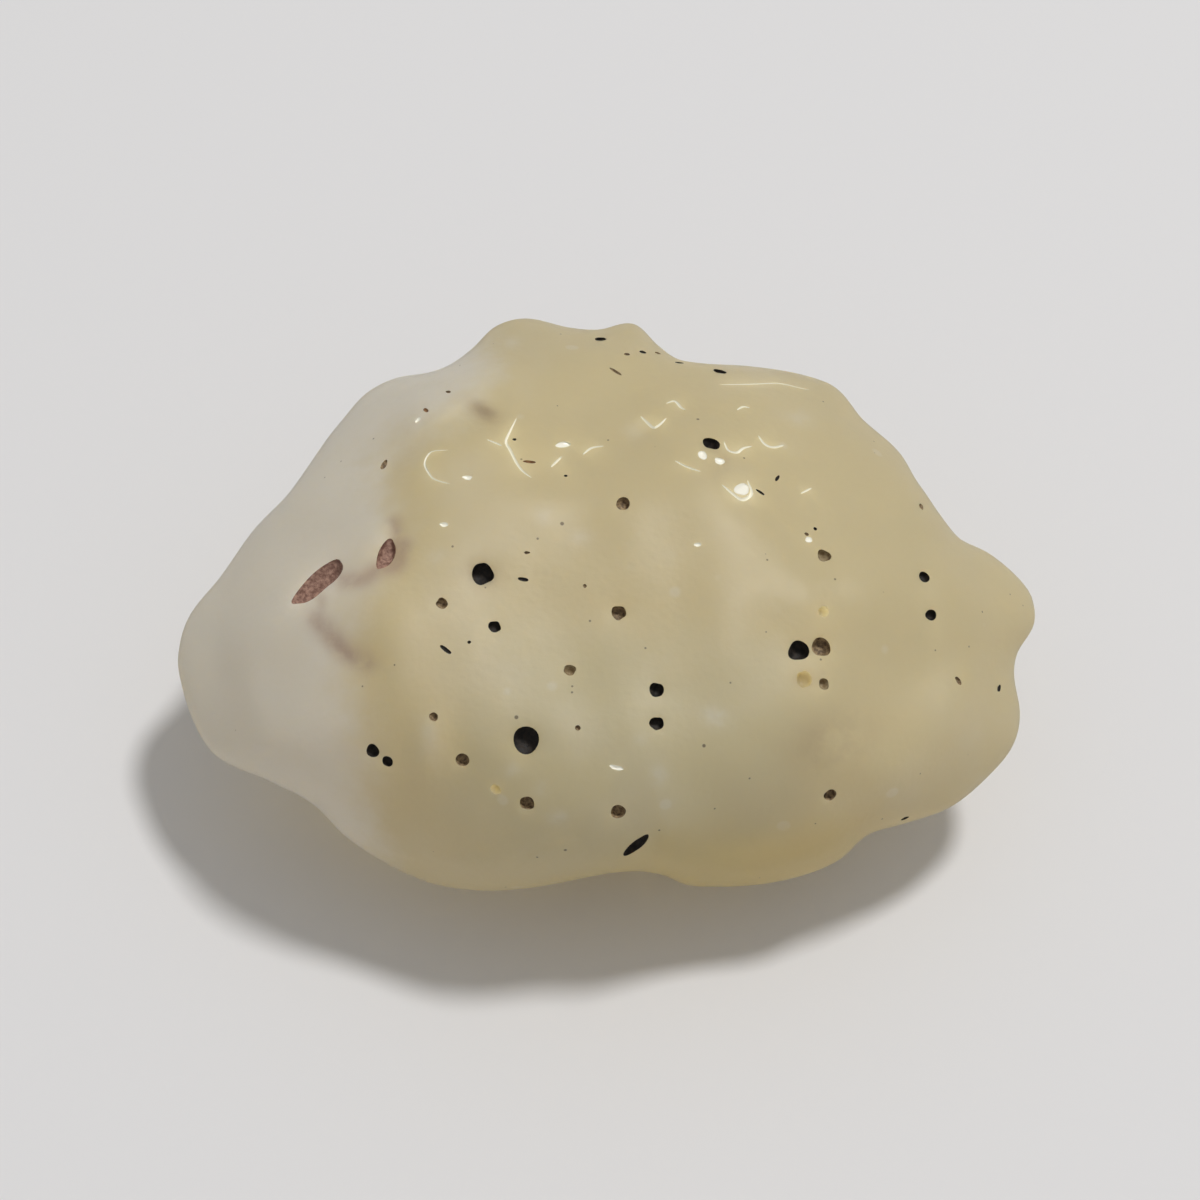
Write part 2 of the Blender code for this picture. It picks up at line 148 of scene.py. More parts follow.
# The scarp: the flank on the right of this line as seen, walked downwards, stands higher
SCARP_RISE, SCARP_REACH, SCARP_SOFTNESS = 0.40, 2.4, 0.14
SCARP = ((-5.1, 12.4), (-5.4, 10.9), (-6.0, 9.7), (-7.1, 8.9), (-8.7, 8.0), (-9.9, 7.2), (-10.4, 6.4))

# Gentle wind-worn waves all over
WAVES, WAVE_LENGTH, WAVE_RISE, WAVE_SHORTEST, WAVE_SEED = 24, 8.0, 0.045, 0.35, 7

# How deep a bubble's centre lies, and how much wider than its mouth it is, as shares of the mouth's radius
SUNK, WIDER = 0.35, 1.07
EYE_STEPS, SLOPE_STEP, RIM_HOLD = 12, 0.1, 8

# The finishes: the hollows' linings, the worn glass and a chip's face, whose pale colour is a painted
# highlight
BLACK, BROWN, CLAY = "black_lining", "brown_lining", "clay_lining"
RUST, TAN, CLEAR, CHIP_HIGHLIGHT = "rust_lining", "tan_lining", "frosted_glass", "chip_highlight"

# Open bubbles of the front, as (across, up, radius, lining), as seen
BUBBLES = (
    (-3.7, -6.5, 0.60, BLACK),
    (9.0, -2.3, 0.48, BLACK),
    (10.1, -2.1, 0.40, BROWN),
    (-5.8, 1.3, 0.50, BLACK),
    (4.9, 7.4, 0.40, BLACK),
    (-10.9, -7.0, 0.30, BLACK),
    (-10.2, -7.5, 0.25, BLACK),
    (-5.2, -1.2, 0.27, BLACK),
    (-7.7, -0.1, 0.25, BROWN),
    (0.6, -0.5, 0.33, BROWN),
    (2.4, -4.1, 0.33, BLACK),
    (2.4, -5.7, 0.33, BLACK),
    (0.8, 4.6, 0.32, BROWN),
    (-6.7, -7.4, 0.30, BROWN),
    (-3.7, -9.4, 0.33, BROWN),
    (0.6, -9.8, 0.33, BROWN),
    (10.5, -9.0, 0.30, BROWN),
    (14.9, 1.2, 0.27, BLACK),
    (15.2, -0.6, 0.27, BLACK),
    (-0.3, 12.3, 0.28, BLACK),
    (5.3, 10.8, 0.30, BLACK),
    (9.3, -3.6, 0.37, CLEAR),
    (10.2, 2.2, 0.33, TAN),
)

# Long open hollows of the front: a seed shape, a slit and a wedge, as
# (across, up, half length, half width, depth, turn in degrees, lining), as seen
HOLLOWS = (
    (-13.5, 0.9, 1.50, 0.72, 0.80, 38, CLAY),
    (1.4, -11.4, 0.92, 0.24, 0.45, 36, BLACK),
    (-10.3, 2.2, 0.86, 0.36, 0.45, 68, CLAY),
)

# Open bubbles of the underside and the back, thrown at random: how many, their radii, the share of the
# outline that they reach, their linings in turn, how far they stay from the worn flat and from each other
BACK_BUBBLES, BACK_RADII, BACK_REACH, BUBBLE_SEED = 14, (0.25, 0.55), 0.9, 11
BACK_LININGS = (BLACK, BROWN, TAN)
CLEAR_OF_FLAT, BUBBLE_GAP = 1.2, 2.2

# Squares along a ball's faces where the lump is measured and where bubbles are cut, and the decimals to
# which the points that two faces share agree
MEASURE_GRID, HOLLOW_GRID, SAME_DECIMALS = 96, 9, 9

# The waves that make a bubble's wall uneven
WALL_WAVES, WALL_FREQUENCY, WALL_SEED = 5, 2.2, 5

# How deep a speck is, as a share of its half width, and the unevenness of a chip's scale
SPECK_DEPTH, SCALE_ROUGHNESS = 1.4, 0.35

# How far from the rim the front's markings fade, and the steps along a stained line
FRONT_SOFTNESS, STAIN_STEPS = 0.6, 12

# Angle past which an edge is shown sharp, in radians, and where the camera aims, as (across, up)
SHARP_EDGE = math.radians(38)
AIM = (-0.28, 0.09)

# Steps along a chip's groove, sides round it, and how far it closes at its ends
GROOVE_STEPS, GROOVE_SIDES, GROOVE_TIP = 22, 8, 0.01

# Small pits and specks of the front, as
# (across, up, half length, half width, turn in degrees, lining), as seen
SPECKS = (
    (-7.5, -2.25, 0.30, 0.09, -35, BLACK),
    (-3.9, 1.05, 0.24, 0.09, -10, BLACK),
    (-3.7, 2.3, 0.13, 0.07, 0, BROWN),
    (-3.6, 6.55, 0.32, 0.09, -3, RUST),
    (-8.45, 8.95, 0.26, 0.09, -40, RUST),
    (-7.4, 9.8, 0.18, 0.09, -20, BROWN),
    (-10.4, 6.4, 0.30, 0.15, 70, BROWN),
    (-8.05, -5.4, 0.19, 0.19, 0, BROWN),
    (14.0, -10.1, 0.19, 0.17, 0, BLACK),
    (14.75, 4.5, 0.24, 0.14, 75, BROWN),
    (16.5, -3.65, 0.24, 0.12, -50, BROWN),
    (18.4, -4.0, 0.24, 0.12, 85, BLACK),
    (1.7, 11.7, 0.19, 0.16, 0, BLACK),
    (2.4, 11.65, 0.17, 0.14, 0, BROWN),
    (0.95, 11.6, 0.14, 0.12, 0, BROWN),
    (3.4, 11.2, 0.24, 0.13, -10, BLACK),
    (0.4, 10.8, 0.36, 0.09, -25, BROWN),
    (10.2, -3.8, 0.26, 0.26, 0, TAN),
    (10.2, -0.4, 0.24, 0.24, 0, CLEAR),
    (-1.7, -3.2, 0.26, 0.26, 0, TAN),
    (-5.15, -8.8, 0.24, 0.24, 0, CLEAR),
    (-1.3, -5.9, 0.12, 0.12, 0, BROWN),
    (8.0, 5.8, 0.22, 0.08, 55, BLACK),
    (7.2, 5.15, 0.22, 0.08, -35, BLACK),
    (9.4, 3.2, 0.10, 0.10, 0, BROWN),
    (9.8, 3.45, 0.09, 0.09, 0, BLACK),
    (-6.4, -1.9, 0.08, 0.07, 0, BLACK),
    (-1.9, 5.9, 0.08, 0.07, 0, BLACK),
    (-4.3, 7.6, 0.09, 0.08, 0, BLACK),
    (-1.0, 0.75, 0.08, 0.08, 0, BROWN),
)

# Chips: short grooves along these lines as seen, as (half width, depth, points)
CHIP_LINES = (
    (0.07, 0.16, ((-4.2, 8.6), (-4.5, 8.0), (-4.7, 7.5), (-4.5, 7.1), (-4.2, 6.5), (-3.9, 6.1), (-3.5, 5.8))),
    (0.05, 0.10, ((-5.6, 7.6), (-5.1, 7.4), (-4.9, 7.3))),
    (0.05, 0.10, ((-7.4, 7.1), (-8.2, 7.0), (-8.5, 6.5), (-8.3, 6.0), (-8.0, 5.7), (-7.3, 5.5))),
    (0.06, 0.14, ((-2.1, 6.8), (-2.3, 6.6), (-2.6, 6.3))),
    (0.06, 0.14, ((-0.1, 7.3), (-0.7, 7.2), (-1.1, 6.9))),
    (0.08, 0.18, ((1.6, 8.7), (1.9, 8.4), (2.2, 8.15), (2.5, 8.3), (2.8, 8.6))),
    (0.07, 0.14, ((2.8, 9.3), (3.2, 9.4), (3.5, 9.1), (3.7, 9.0))),
    (0.08, 0.18, ((7.1, 7.8), (7.4, 7.4), (7.8, 7.25), (8.3, 7.35))),
    (0.07, 0.16, ((5.5, 7.5), (5.7, 7.1), (6.1, 7.0), (6.4, 7.2), (6.8, 7.3))),
    (0.05, 0.10, ((3.2, 6.6), (3.8, 6.3), (4.4, 6.1))),
    (0.06, 0.12, ((6.1, 9.0), (6.4, 9.15), (6.7, 9.1))),
    (0.09, 0.20, ((5.4, 5.5), (6.0, 5.0), (6.4, 4.8), (6.8, 5.1), (6.6, 5.7))),
    (0.05, 0.12, ((9.1, 5.1), (9.6, 5.35))),
    (0.05, 0.10, ((5.3, 10.2), (6.4, 10.2), (8.0, 10.25), (9.7, 10.2))),
)

# Chips: shallow scales, bright with a painted highlight, as (across, up, half length, half width, depth,
# turn), as seen
CHIP_SCALES = (
    (-2.0, 7.35, 0.38, 0.22, 0.12, 10),
    (6.35, 5.3, 0.42, 0.26, 0.12, 30),
    (4.5, 6.85, 0.22, 0.26, 0.12, 0),
    (5.3, 6.6, 0.26, 0.20, 0.12, 30),
    (-6.5, 5.8, 0.24, 0.12, 0.08, -10),
    (9.5, 2.95, 0.20, 0.14, 0.10, 25),
    (4.3, 2.7, 0.16, 0.09, 0.08, 5),
    (0.5, -7.75, 0.32, 0.10, 0.08, -10),
    (-7.6, 3.6, 0.20, 0.12, 0.08, 0),
    (-8.8, 8.5, 0.14, 0.16, 0.08, 0),
)

# Markings inside the glass, painted over the front where they are seen. The milky lobe lies on the left of
# its edge and the deeper yellow foot below its edge, each fading over its softness. The lobe's paleness is
# partly its cloudy glass and partly painted light: the flank above the scarp faces the key, and light crosses
# less glass there. The foot's darker, deeper yellow is partly painted shade: it faces down, away from the
# key, and it stands in for light that crosses more glass.
MILK_AND_LIGHT_EDGE = (
    (-6.2, 13.8), (-5.4, 10.9), (-6.0, 9.7), (-8.7, 8.0), (-10.3, 6.4), (-10.0, 3.0),
    (-10.8, 1.0), (-12.0, -2.0), (-11.6, -6.0), (-10.0, -13.5),
)
MILK_AND_LIGHT_SOFTNESS = 0.9
HONEY_AND_SHADE_EDGE = (
    (-3.0, -13.8), (1.6, -11.6), (2.5, -10.6), (5.3, -10.5), (8.2, -10.9), (11.4, -10.2), (15.0, -10.0),
)
HONEY_AND_SHADE_SOFTNESS = 0.5

# White clouds and brown patches, as (across, up, half length, half width, turn in degrees, strength), as
# seen. One brown patch is painted shade.
CLOUDS = (
    (5.2, -5.4, 0.60, 0.42, -15, 0.9),
    (2.5, -8.1, 0.42, 0.50, 0, 0.5),
    (-2.2, -10.1, 0.45, 0.35, 0, 0.7),
    (-8.1, 2.2, 0.40, 0.40, 0, 0.6),
    (-8.2, -6.5, 0.50, 1.30, 10, 0.5),
    (-4.4, -7.9, 0.40, 0.35, 0, 0.5),
    (1.5, -6.4, 0.40, 0.40, 0, 0.4),
    (-3.0, -8.8, 0.35, 0.35, 0, 0.5),
    (-4.5, 12.1, 0.40, 0.30, 0, 0.5),
    (-2.9, 4.0, 0.40, 0.40, 0, 0.5),
    (-1.2, 3.0, 0.45, 0.35, 0, 0.5),
    (1.3, 8.0, 0.50, 0.40, 0, 0.4),
    (9.0, 8.6, 0.90, 0.40, -10, 0.4),
)
PATCHES_AND_SHADE = (
    (10.5, -6.5, 2.0, 1.3, 20, 0.45),
    (9.3, -3.6, 0.5, 0.4, 0, 0.5),
    # Painted shade: darker brown in the hollow under the scarp's crest
    (-5.7, 8.9, 0.9, 0.4, -30, 0.8),
    (-5.8, 1.3, 0.8, 0.7, 0, 0.55),
    (5.4, 6.6, 0.5, 0.8, -30, 0.35),
    (-12.0, -7.0, 1.6, 0.8, 0, 0.12),
)

# Pinkish stain along valleys, as (half width, strength, points), as seen
STAIN_LINES = (
    (0.45, 0.65, ((-12.3, 0.9), (-11.3, 1.1), (-10.7, 1.5), (-9.8, 1.7), (-9.5, 2.6))),
    (0.35, 0.60, ((-9.9, 3.7), (-9.7, 1.8))),
    (0.50, 0.75, ((-13.5, -0.9), (-12.9, -1.6), (-12.2, -2.4), (-11.3, -2.9))),
    (0.30, 0.35, ((-13.3, 0.1), (-13.4, -1.0))),
)

# The glass's noises: waves to the millimetre of the pale drifts, the curdling, the grain and the dimples
DRIFT_SCALE, CURDLE_SCALE, GRAIN_SCALE, DIMPLE_SCALE = 0.11, 0.55, 3.2, 0.8

# The noise at which each marking starts and at which it is whole, how far curdling frays the milky edge,
# and how strong the paler glass (partly painted light) and the deeper yellow glass (partly painted shade) are
MILK_AND_LIGHT_FADE, DRIFT_FADE, CLOUD_FADE = (0.1, 0.95), (0.5, 0.75), (0.25, 0.6)
PATCH_AND_SHADE_FADE, STAIN_FADE, MOTTLE_FADE = (0.2, 0.65), (0.1, 0.6), (0.35, 0.7)
MILK_AND_LIGHT_FRAY = 0.5
MILK_AND_LIGHT_STRENGTH, DRIFT_STRENGTH, CLOUD_STRENGTH, HONEY_AND_SHADE_STRENGTH = 0.85, 0.2, 0.6, 0.75

# Scattered dots, as (points to the millimetre, radius between points, share that has a dot, strength), and
# the share of a dot's radius that is solid
PALE_FLECKS = (0.42, 0.16, 0.35, 0.25)
FINE_SPECKS = (1.3, 0.085, 0.20, 0.7)
COARSE_SPECKS = (0.5, 0.055, 0.16, 0.8)
DOT_CORE = 0.6

# The glass's refraction, how much further its red light spreads than its green and blue, how unevenly it
# is frosted, and the dimples' share of its bumps beside the grain
GLASS_IOR = 1.46
LIGHT_SPREAD = (1.0, 0.85, 0.5)
FROST_UNEVENNESS = 0.12
DIMPLE_SHARE = 0.8

# Bumps of the skin, a lining and a chip's face, as (strength, height in metres)
SKIN_BUMP, LINING_BUMP, CHIP_BUMP = (0.35, 0.00012), (0.6, 0.00005), (0.4, 0.00004)

# Sediment in the hollows, as dark colour, light colour and roughness, with its mottles' and grains' waves to
# the millimetre and its uneven roughness
LININGS = {
    BLACK: ((0.010, 0.008, 0.006), (0.045, 0.033, 0.024), 0.7),
    BROWN: ((0.13, 0.085, 0.045), (0.52, 0.38, 0.21), 0.7),
    CLAY: ((0.20, 0.10, 0.07), (0.50, 0.31, 0.23), 0.75),
    RUST: ((0.18, 0.08, 0.03), (0.45, 0.25, 0.11), 0.7),
    TAN: ((0.26, 0.18, 0.09), (0.45, 0.36, 0.21), 0.6),
}
MOTTLE_SCALE, SEDIMENT_GRAIN = 5.0, 9.0
SEDIMENT_SMOOTHING, SEDIMENT_UNEVENNESS = 0.1, 0.15

# A chip's face, painted pale as a highlight: its roughness, and the waves to the millimetre of its tints and
# its bumps
CHIP_ROUGHNESS, CHIP_TINT_SCALE, CHIP_BUMP_SCALE = 0.25, 2.5, 4.0

# The paper's roughness and gloss, and how near the camera still sees, in metres
PAPER_ROUGHNESS, PAPER_GLOSS, NEAR_CLIP = 0.9, 0.2, 0.001


def colour(name, description, default):
    """A colour that the panel shows."""
    return FloatVectorProperty(
        name=name, description=description, subtype="COLOR", size=3, min=0, max=1, default=default)


class NoduleShape(bpy.types.PropertyGroup):
    """Sizes of the fine surface."""

    grid: IntProperty(name="Grid", description="Squares along each side of the ball's six faces", default=104)
    wall_roughness: FloatProperty(
        name="Wall roughness", description="Unevenness of a bubble's wall, as a share of its radius",
        default=0.22)
    lip_depth: FloatProperty(
        name="Lip depth", description="Worn hollow round a bubble's mouth, as a share of its radius",
        default=0.16)
    lip_reach: FloatProperty(
        name="Lip reach", description="Reach of that hollow, as a share of the mouth's radius", default=1.5)
    flat_edge: FloatProperty(
        name="Flat edge", description="Rounding at the worn flat's edge", default=0.0002, unit="LENGTH")


class NoduleLook(bpy.types.PropertyGroup):
    """Colours and finish of the glass."""

    glass: colour("Glass", "Pale yellow-green glass", (0.80, 0.69, 0.41))
    # Milky colour, partly painted light: the pale left lobe and the flank above the scarp, which faces the
    # key
    milk: colour("Milk", "Cloudy white glass of the lobe on the left", (0.97, 0.94, 0.84))
    # Deeper yellow, partly painted shade: the foot is darker and more yellow where it faces down and its
    # light crosses more glass
    honey: colour("Honey", "Deeper yellow glass of the foot", (0.79, 0.62, 0.24))
    # The brown patches' colour, which also paints shade into the hollow under the scarp
    patch: colour("Brown patch", "Brownish patches under the skin", (0.42, 0.31, 0.19))
    stain: colour("Stain", "Pinkish stain along the valleys", (0.45, 0.31, 0.25))
    speck: colour("Speck", "Small dark specks", (0.10, 0.065, 0.035))
    # The chips' colour is a painted highlight: the pale glint that their broken faces catch from the light
    chip: colour("Chip", "Bright fresh face of a chip", (0.98, 0.95, 0.80))
    clarity: FloatProperty(
        name="Clarity", description="Share of the light that goes straight through the glass", default=0.4)
    frost: FloatProperty(name="Frost", description="Roughness of the worn skin", default=0.5)
    waxy_depth: FloatProperty(
        name="Waxy depth", description="How far light spreads under the skin", default=0.003, unit="LENGTH")
    absorption: colour(
        "Absorption", "Colour that is left after a long way through the glass", (0.92, 0.80, 0.38))
    density: FloatProperty(name="Density", description="Absorption for each metre of glass", default=60.0)


class NoduleStage(bpy.types.PropertyGroup):
    """Floor, lights and camera."""

    floor: colour("Floor", "Plain pale floor", (0.80, 0.79, 0.79))
    key_power: FloatProperty(name="Key", description="Power of the soft key light", default=4.2, unit="POWER")
    key_size: FloatProperty(
        name="Key size", description="Width of the key light", default=0.14, unit="LENGTH")
    key_distance: FloatProperty(
        name="Key distance", description="Distance of the key light", default=0.9, unit="LENGTH")
    key_way: FloatVectorProperty(
        name="Key direction", description="Direction from the nodule to the key light", subtype="DIRECTION",
        size=3, default=(0.30, 0.10, 0.95))
    fill: FloatProperty(name="Fill", description="Strength of the even light all round", default=0.39)
    fill_colour: colour("Fill colour", "Colour of the even light", (1.0, 1.0, 1.0))
    floor_size: FloatProperty(name="Floor size", description="Width of the floor", default=4.0, unit="LENGTH")
    lens: FloatProperty(name="Lens", description="Focal length", default=100.0, unit="CAMERA")


def closed_curve(angles, values, at):
    """The periodic cubic through the values at those angles, with each slope taken from its neighbours."""
    turn = 2 * math.pi
    order = np.argsort(np.mod(angles, turn))
    a = np.mod(angles, turn)[order]
    r = values[order]
    before, after = np.roll(a, 1), np.roll(a, -1)
    before[0] -= turn
    after[-1] += turn
    slope = (np.roll(r, -1) - np.roll(r, 1)) / (after - before)
    t = np.mod(at, turn)
    t = np.where(t < a[0], t + turn, t)
    left = np.clip(np.searchsorted(a, t, side="right") - 1, 0, len(a) - 1)
    right = (left + 1) % len(a)
    width = after[left] - a[left]
    s = (t - a[left]) / width
    return (
        (1 + 2 * s) * (1 - s) ** 2 * r[left]
        + s * (1 - s) ** 2 * width * slope[left]
        + s * s * (3 - 2 * s) * r[right]
        + s * s * (s - 1) * width * slope[right]
    )


def outline_radius(angle):
    """How far the outline lies from the middle in each direction."""
    points = np.array(OUTLINE) - MIDDLE
    return closed_curve(np.arctan2(points[:, 1], points[:, 0]), np.hypot(points[:, 0], points[:, 1]), angle)


def inner_radius(angle):
    """The outline's smoothed and shrunk radius: the lump's girth away from the rim."""
    turns = np.radians(np.linspace(-TUCK_SPAN, TUCK_SPAN, TUCK_SAMPLES))
    return TUCK_SHARE * np.mean([outline_radius(angle + turn) for turn in turns], axis=0)


def share_of_outline(x, v):
    """0 at the middle and 1 on the outline."""
    dx, dv = x - MIDDLE[0], v - MIDDLE[1]
    return np.hypot(dx, dv) / outline_radius(np.arctan2(dv, dx))


def swell(x, v, side):
    """The smooth thickness from the rim to the face on that side.

    It is the square root of 1 less a power of the share. The share is measured against the outline
    at the rim and against the plain oval in the middle, so the outline's corners don't reach inwards.
    """
    dx, dv = x - MIDDLE[0], v - MIDDLE[1]
    near_rim = np.minimum(share_of_outline(x, v), 1) ** 2
    oval_share = np.hypot(dx / OVAL[0], dv / OVAL[1])
    share = share_of_outline(x, v) * near_rim + oval_share * (1 - near_rim)
    return np.where(side > 0, FRONT_SWELL, BACK_SWELL) * np.sqrt(1 - np.clip(share, 0, 1) ** FULLNESS)


def softer_minimum(a, b, blend):
    """The lower of two heights, rounded where they meet over the blend."""
    near = np.clip(0.5 + 0.5 * (b - a) / blend, 0, 1)
    return b + (a - b) * near - blend * near * (1 - near)


def shaved(x, v, side, facets, blend):
    """The swell, with each facet laid along it at the facet's middle and then sunk by its depth."""
    rise = swell(x, v, side)
    step = SLOPE_STEP
    for fx, fv, depth in facets:
        here = swell(fx, fv, side)
        across = (swell(fx + step, fv, side) - swell(fx - step, fv, side)) / (2 * step)
        up = (swell(fx, fv + step, side) - swell(fx, fv - step, side)) / (2 * step)
        dish = FACET_DISH * ((x - fx) ** 2 + (v - fv) ** 2)
        plane = here - depth + across * (x - fx) + up * (v - fv) + dish
        held = -softer_minimum(-plane, -LEAST_SWELL * rise, blend)
        rise = softer_minimum(rise, held, blend)
    return rise


def scoop(x, v, fx, fv, half_long, half_wide, turn):
    """1 in the middle of a scoop, falling away as a bell over its half length and half width."""
    c, s = math.cos(math.radians(turn)), math.sin(math.radians(turn))
    along = ((x - fx) * c + (v - fv) * s) / half_long
    aside = ((v - fv) * c - (x - fx) * s) / half_wide
    return np.exp(-(along**2 + aside**2))


def along_path(x, v, points):
    """(distance to the path, distance to the right of its nearest run when walking along it)."""
    nearest = np.full(np.shape(x), np.inf)
    right = np.zeros(np.shape(x))
    for (ax, av), (bx, bv) in zip(points, points[1:]):
        dx, dv = bx - ax, bv - av
        length = math.hypot(dx, dv)
        t = np.clip(((x - ax) * dx + (v - av) * dv) / length**2, 0, 1)
        gap = np.hypot(x - ax - t * dx, v - av - t * dv)
        closer = gap < nearest
        right = np.where(closer, ((x - ax) * dv - (v - av) * dx) / length, right)
        nearest = np.where(closer, gap, nearest)
    return nearest, right


def scarp(x, v):
    """A one-sided step: full height beside the line on its high side, fading with the distance."""
    gap, right = along_path(x, v, seen(SCARP))
    step = 1 / (1 + np.exp(-right / SCARP_SOFTNESS))
    return SCARP_RISE * step * np.exp(-((gap / SCARP_REACH) ** 2))


def waves(x, v, w):
    """A sum of sine waves in seeded directions, longer ones rising more."""
    dice = np.random.RandomState(WAVE_SEED)
    total = np.zeros(np.shape(x))
    for _ in range(WAVES):
        way = dice.normal(size=3)
        way /= np.linalg.norm(way)
        length = WAVE_LENGTH * dice.uniform(WAVE_SHORTEST, 1.0)
        phase = dice.uniform(0, 2 * math.pi)
        rise = WAVE_RISE * length / WAVE_LENGTH
        total += rise * np.sin(2 * math.pi * (x * way[0] + v * way[1] + w * way[2]) / length + phase)
    return total


def rim_depth(x, v):
    """How far forward the rim lies: the upper rim lies back and the lower one forward, and it wanders."""
    wander = sum(rise * np.sin(x / across + v / up + phase) for rise, across, up, phase in RIM_WANDER)
    return RIM_SLOPE * v + wander


def shaved_depth(x, v, side):
    """How far forward the shaved swell lies over each point of the broad plane, on that side."""
    front = shaved(x, v, side, FRONT_FACETS, FRONT_BLEND)
    back = shaved(x, v, side, BACK_FACETS, BACK_BLEND)
    return rim_depth(x, v) + side * np.where(side > 0, front, back)


@lru_cache(maxsize=None)
def seen(places):
    """(across, up), before the tuck, of the front's points that the eye sees against those places."""
    a, b = np.array(places, dtype=float).T
    x, v = a.copy(), b.copy()
    for _ in range(EYE_STEPS):
        tucked_x, tucked_v, w = tucked(x, v, shaved_depth(x, v, FRONT))
        nearer = 1 - w / EYE
        x += a * nearer - tucked_x
        v += b * nearer - tucked_v
    return tuple(zip(x.tolist(), v.tolist()))


def seen_rows(rows):
    """The points seen against the places with which those rows start."""
    return seen(tuple(row[:2] for row in rows))


@lru_cache(maxsize=None)
def back_bubbles():
    """(across, up, radius) of the hidden side's bubbles, apart from each other and off the worn flat."""
    dice = np.random.RandomState(BUBBLE_SEED)
    kept = []
    while len(kept) < BACK_BUBBLES:
        angle, share = dice.uniform(0, 2 * math.pi), BACK_REACH * math.sqrt(dice.uniform())
        radius = dice.uniform(*BACK_RADII)
        reach = share * float(outline_radius(angle))
        x, v = MIDDLE[0] + reach * math.cos(angle), MIDDLE[1] + reach * math.sin(angle)
        height = (to_world(*surface_point(x, v, BACK)) + lump_move())[2]
        apart = all(math.hypot(x - kept_x, v - kept_v) > BUBBLE_GAP for kept_x, kept_v, _ in kept)
        if apart and height > CLEAR_OF_FLAT * UNIT:
            kept.append((x, v, radius))
    return tuple(kept)


def relief(x, v, side):
    """What stands above the shaved swell on the front, and on the back."""
    front = scarp(x, v)
    for (fx, fv), (_, _, *size, depth) in zip(seen_rows(FRONT_SCOOPS), FRONT_SCOOPS):
        front -= depth * scoop(x, v, fx, fv, *size)
    for half_width, depth, points in VALLEYS:
        gap, _ = along_path(x, v, seen(points))
        front -= depth * np.exp(-((gap / half_width) ** 2))
    back = -sum(depth * scoop(x, v, *size) for *size, depth in BACK_SCOOPS)
    return np.where(side > 0, front, back)


def worn_lips(x, v, side):
    """The shallow bell-shaped hollow round each bubble's mouth."""
    shape = bpy.context.scene.nodule_shape
    depth = np.zeros(np.shape(x))
    mouths = [(fx, fv, radius, FRONT) for (fx, fv), (_, _, radius, _) in zip(seen_rows(BUBBLES), BUBBLES)]
    mouths += [(fx, fv, radius, BACK) for fx, fv, radius in back_bubbles()]
    for fx, fv, radius, on in mouths:
        reach = radius * shape.lip_reach
        bell = np.exp(-((x - fx) ** 2 + (v - fv) ** 2) / reach**2)
        depth += np.where(side == on, shape.lip_depth * radius * bell, 0)
    return depth


def surface_depth(x, v, side):
    """How far forward the finished surface lies over each point of the broad plane, on that side."""
    bare = shaved_depth(x, v, side)
    held = 1 - np.minimum(share_of_outline(x, v), 1) ** RIM_HOLD
    return bare + side * held * (relief(x, v, side) + waves(x, v, bare))


def tucked(x, v, w):
    """(across, up, forward) with the outline's corners held at the rim and tucked in away from it."""
    angle = np.arctan2(v - MIDDLE[1], x - MIDDLE[0])
    girth = inner_radius(angle) / outline_radius(angle)
    inner = TUCK_SHARE + (girth - TUCK_SHARE) * np.minimum(share_of_outline(x, v), 1) ** TUCK_FADE
    at_rim = np.exp(-(((w - rim_depth(x, v)) / TUCK_DEPTH) ** 2))
    kept = inner + (1 - inner) * at_rim
    return MIDDLE[0] + (x - MIDDLE[0]) * kept, MIDDLE[1] + (v - MIDDLE[1]) * kept, w


def surface_point(x, v, side):
    """(across, up, forward) of the finished surface over each point of the outline's plane, on that side."""
    return tucked(x, v, surface_depth(x, v, side))


def to_world(x, v, w):
    """From across, up and forward to the standing lump's X, Y and Z: the broad plane leans back."""
    c, s = math.cos(math.radians(LEAN)), math.sin(math.radians(LEAN))
    return np.stack([x, v * s - w * c, v * c + w * s], axis=-1) * UNIT


def to_plane(points):
    """(across, up, forward) of points of the placed lump."""
    c, s = math.cos(math.radians(LEAN)), math.sin(math.radians(LEAN))
    x, y, z = ((points - lump_move()) / UNIT).T
    return x, y * s + z * c, z * s - y * c


def ball_grid(count):
    """(unit directions, quads) of a round ball: a cube's six faces in squares, each pushed out to the ball.

    The squares are spread by the tangent of an even angle, so that they are alike in size on the ball,
    and the points that two faces share are merged.
    """
    steps = np.tan(np.linspace(-1, 1, count + 1) * math.pi / 4)
    s, t = (part.ravel() for part in np.meshgrid(steps, steps, indexing="ij"))
    one = np.ones_like(s)
    sides = [(one, s, t), (-one, t, s), (t, one, s), (s, -one, t), (s, t, one), (t, s, -one)]
    points = np.concatenate([np.stack(side, axis=1) for side in sides])
    points /= np.linalg.norm(points, axis=1, keepdims=True)
    row = np.arange(count)
    corner = (row[:, None] * (count + 1) + row).ravel()
    square = np.stack([corner, corner + count + 1, corner + count + 2, corner + 1], axis=1)
    quads = np.concatenate([square + side * (count + 1) ** 2 for side in range(6)])
    rounded = np.round(points, SAME_DECIMALS)
    _, first, merged = np.unique(rounded, axis=0, return_index=True, return_inverse=True)
    return points[first], merged.ravel()[quads]


def on_ball(directions):
    """(across, up, side) of each direction of a round ball: its flat part is a share of the outline."""
    share = np.hypot(directions[:, 0], directions[:, 1])
    angle = np.arctan2(directions[:, 1], directions[:, 0])
    reach = share * outline_radius(angle)
    side = np.where(directions[:, 2] >= 0, FRONT, BACK)
    return MIDDLE[0] + reach * np.cos(angle), MIDDLE[1] + reach * np.sin(angle), side


